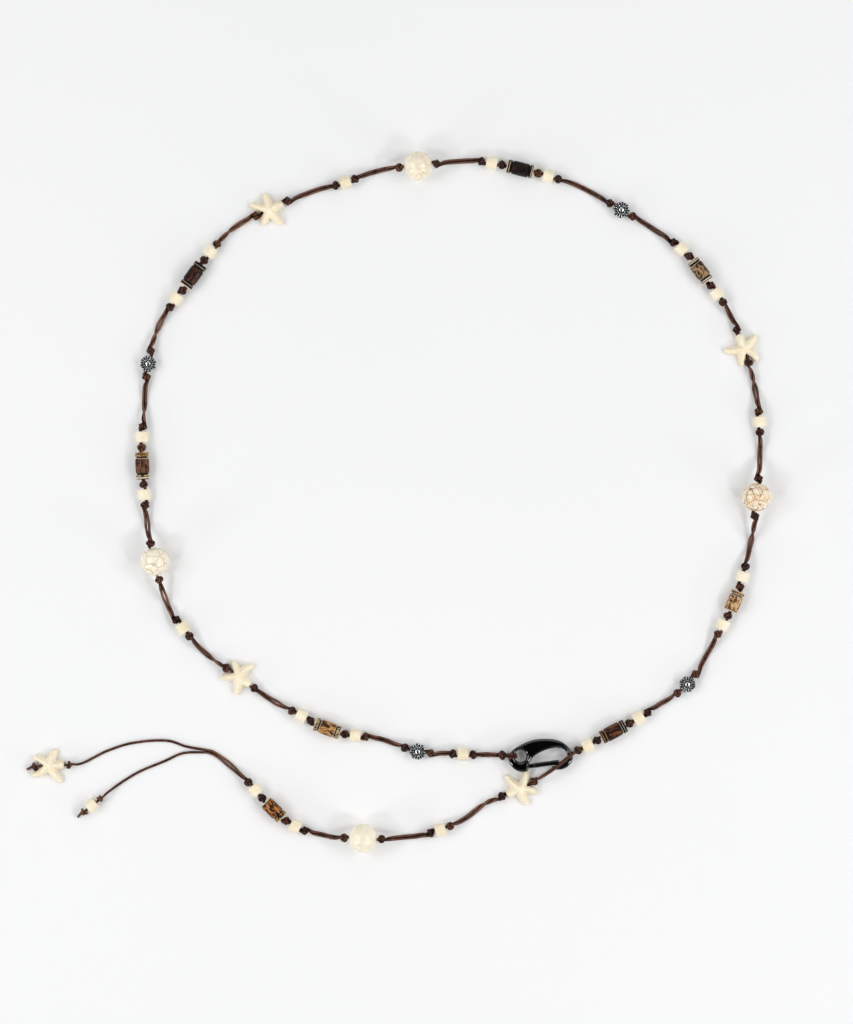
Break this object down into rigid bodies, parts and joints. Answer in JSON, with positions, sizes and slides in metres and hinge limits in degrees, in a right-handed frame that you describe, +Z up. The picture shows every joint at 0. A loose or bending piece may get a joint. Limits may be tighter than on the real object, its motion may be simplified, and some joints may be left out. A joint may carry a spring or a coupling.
{
  "type": "string belt",
  "caption": "Waist belt of doubled waxed cord knotted round stone, wood, starfish and flower beads, closed by a small black spring hook, with a tail that parts into two strands",
  "frame": {"origin": "bottom centre of the belt's bounding box, on the table that it lies on", "axes": "+Z up from the table, +X from the tail's ends towards the hook's nose, +Y from the tail towards the far side of the waist loop"},
  "size_m": [0.3045, 0.2865, 0.012],
  "materials": {
    "black_gloss": "gloss black lacquer on a cast hook",
    "brown_cord": "dark red-brown waxed cotton, slightly glossy",
    "cream_stone": "smooth bone-coloured stone, satin",
    "crackled_stone": "polished cream stone with grey and tan crackle",
    "carved_brown": "polished coconut shell, brown to black",
    "old_silver": "antiqued silver-coloured casting"
  },
  "bodies": {
    "belt": {"clasp_body": "black_gloss", "clasp_rivet": "black_gloss", "coconut_bead_1": "carved_brown", "coconut_bead_2": "carved_brown", "coconut_bead_3": "carved_brown", "coconut_bead_4": "carved_brown", "coconut_bead_5": "carved_brown", "coconut_bead_6": "carved_brown", "coconut_bead_7": "carved_brown", "coconut_bead_8": "carved_brown", "cream_bead_01": "cream_stone", "cream_bead_02": "cream_stone", "cream_bead_03": "cream_stone", "cream_bead_04": "cream_stone", "cream_bead_05": "cream_stone", "cream_bead_06": "cream_stone", "cream_bead_07": "cream_stone", "cream_bead_08": "cream_stone", "cream_bead_09": "cream_stone", "cream_bead_10": "cream_stone", "cream_bead_11": "cream_stone", "cream_bead_12": "cream_stone", "cream_bead_13": "cream_stone", "cream_bead_14": "cream_stone", "cream_bead_15": "cream_stone", "cream_bead_16": "cream_stone", "cream_bead_17": "cream_stone", "cream_bead_18": "cream_stone", "cream_bead_19": "cream_stone", "cream_bead_20": "cream_stone", "cream_bead_21": "cream_stone", "cream_bead_22": "cream_stone", "flower_bead_1": "old_silver", "flower_bead_2": "old_silver", "flower_bead_3": "old_silver", "flower_bead_4": "old_silver", "round_bead_1": "crackled_stone", "round_bead_2": "crackled_stone", "round_bead_3": "crackled_stone", "round_bead_4": "crackled_stone", "starfish_bead_1": "cream_stone", "starfish_bead_2": "cream_stone", "starfish_bead_3": "cream_stone", "starfish_bead_4": "cream_stone", "starfish_bead_5": "cream_stone", "tail_string": "brown_cord", "waist_string": "brown_cord"},
    "gate": {"clasp_gate": "black_gloss"}
  },
  "joints": [
    {"name": "gate_hinge", "type": "hinge", "parent": "belt", "child": "gate", "pos_m": [0.05088, -0.10817, 0.0032], "axis": [0, 0, 1], "range_deg": [0, 18], "stiffness_Nm_per_rad": 0.0005}
  ]
}
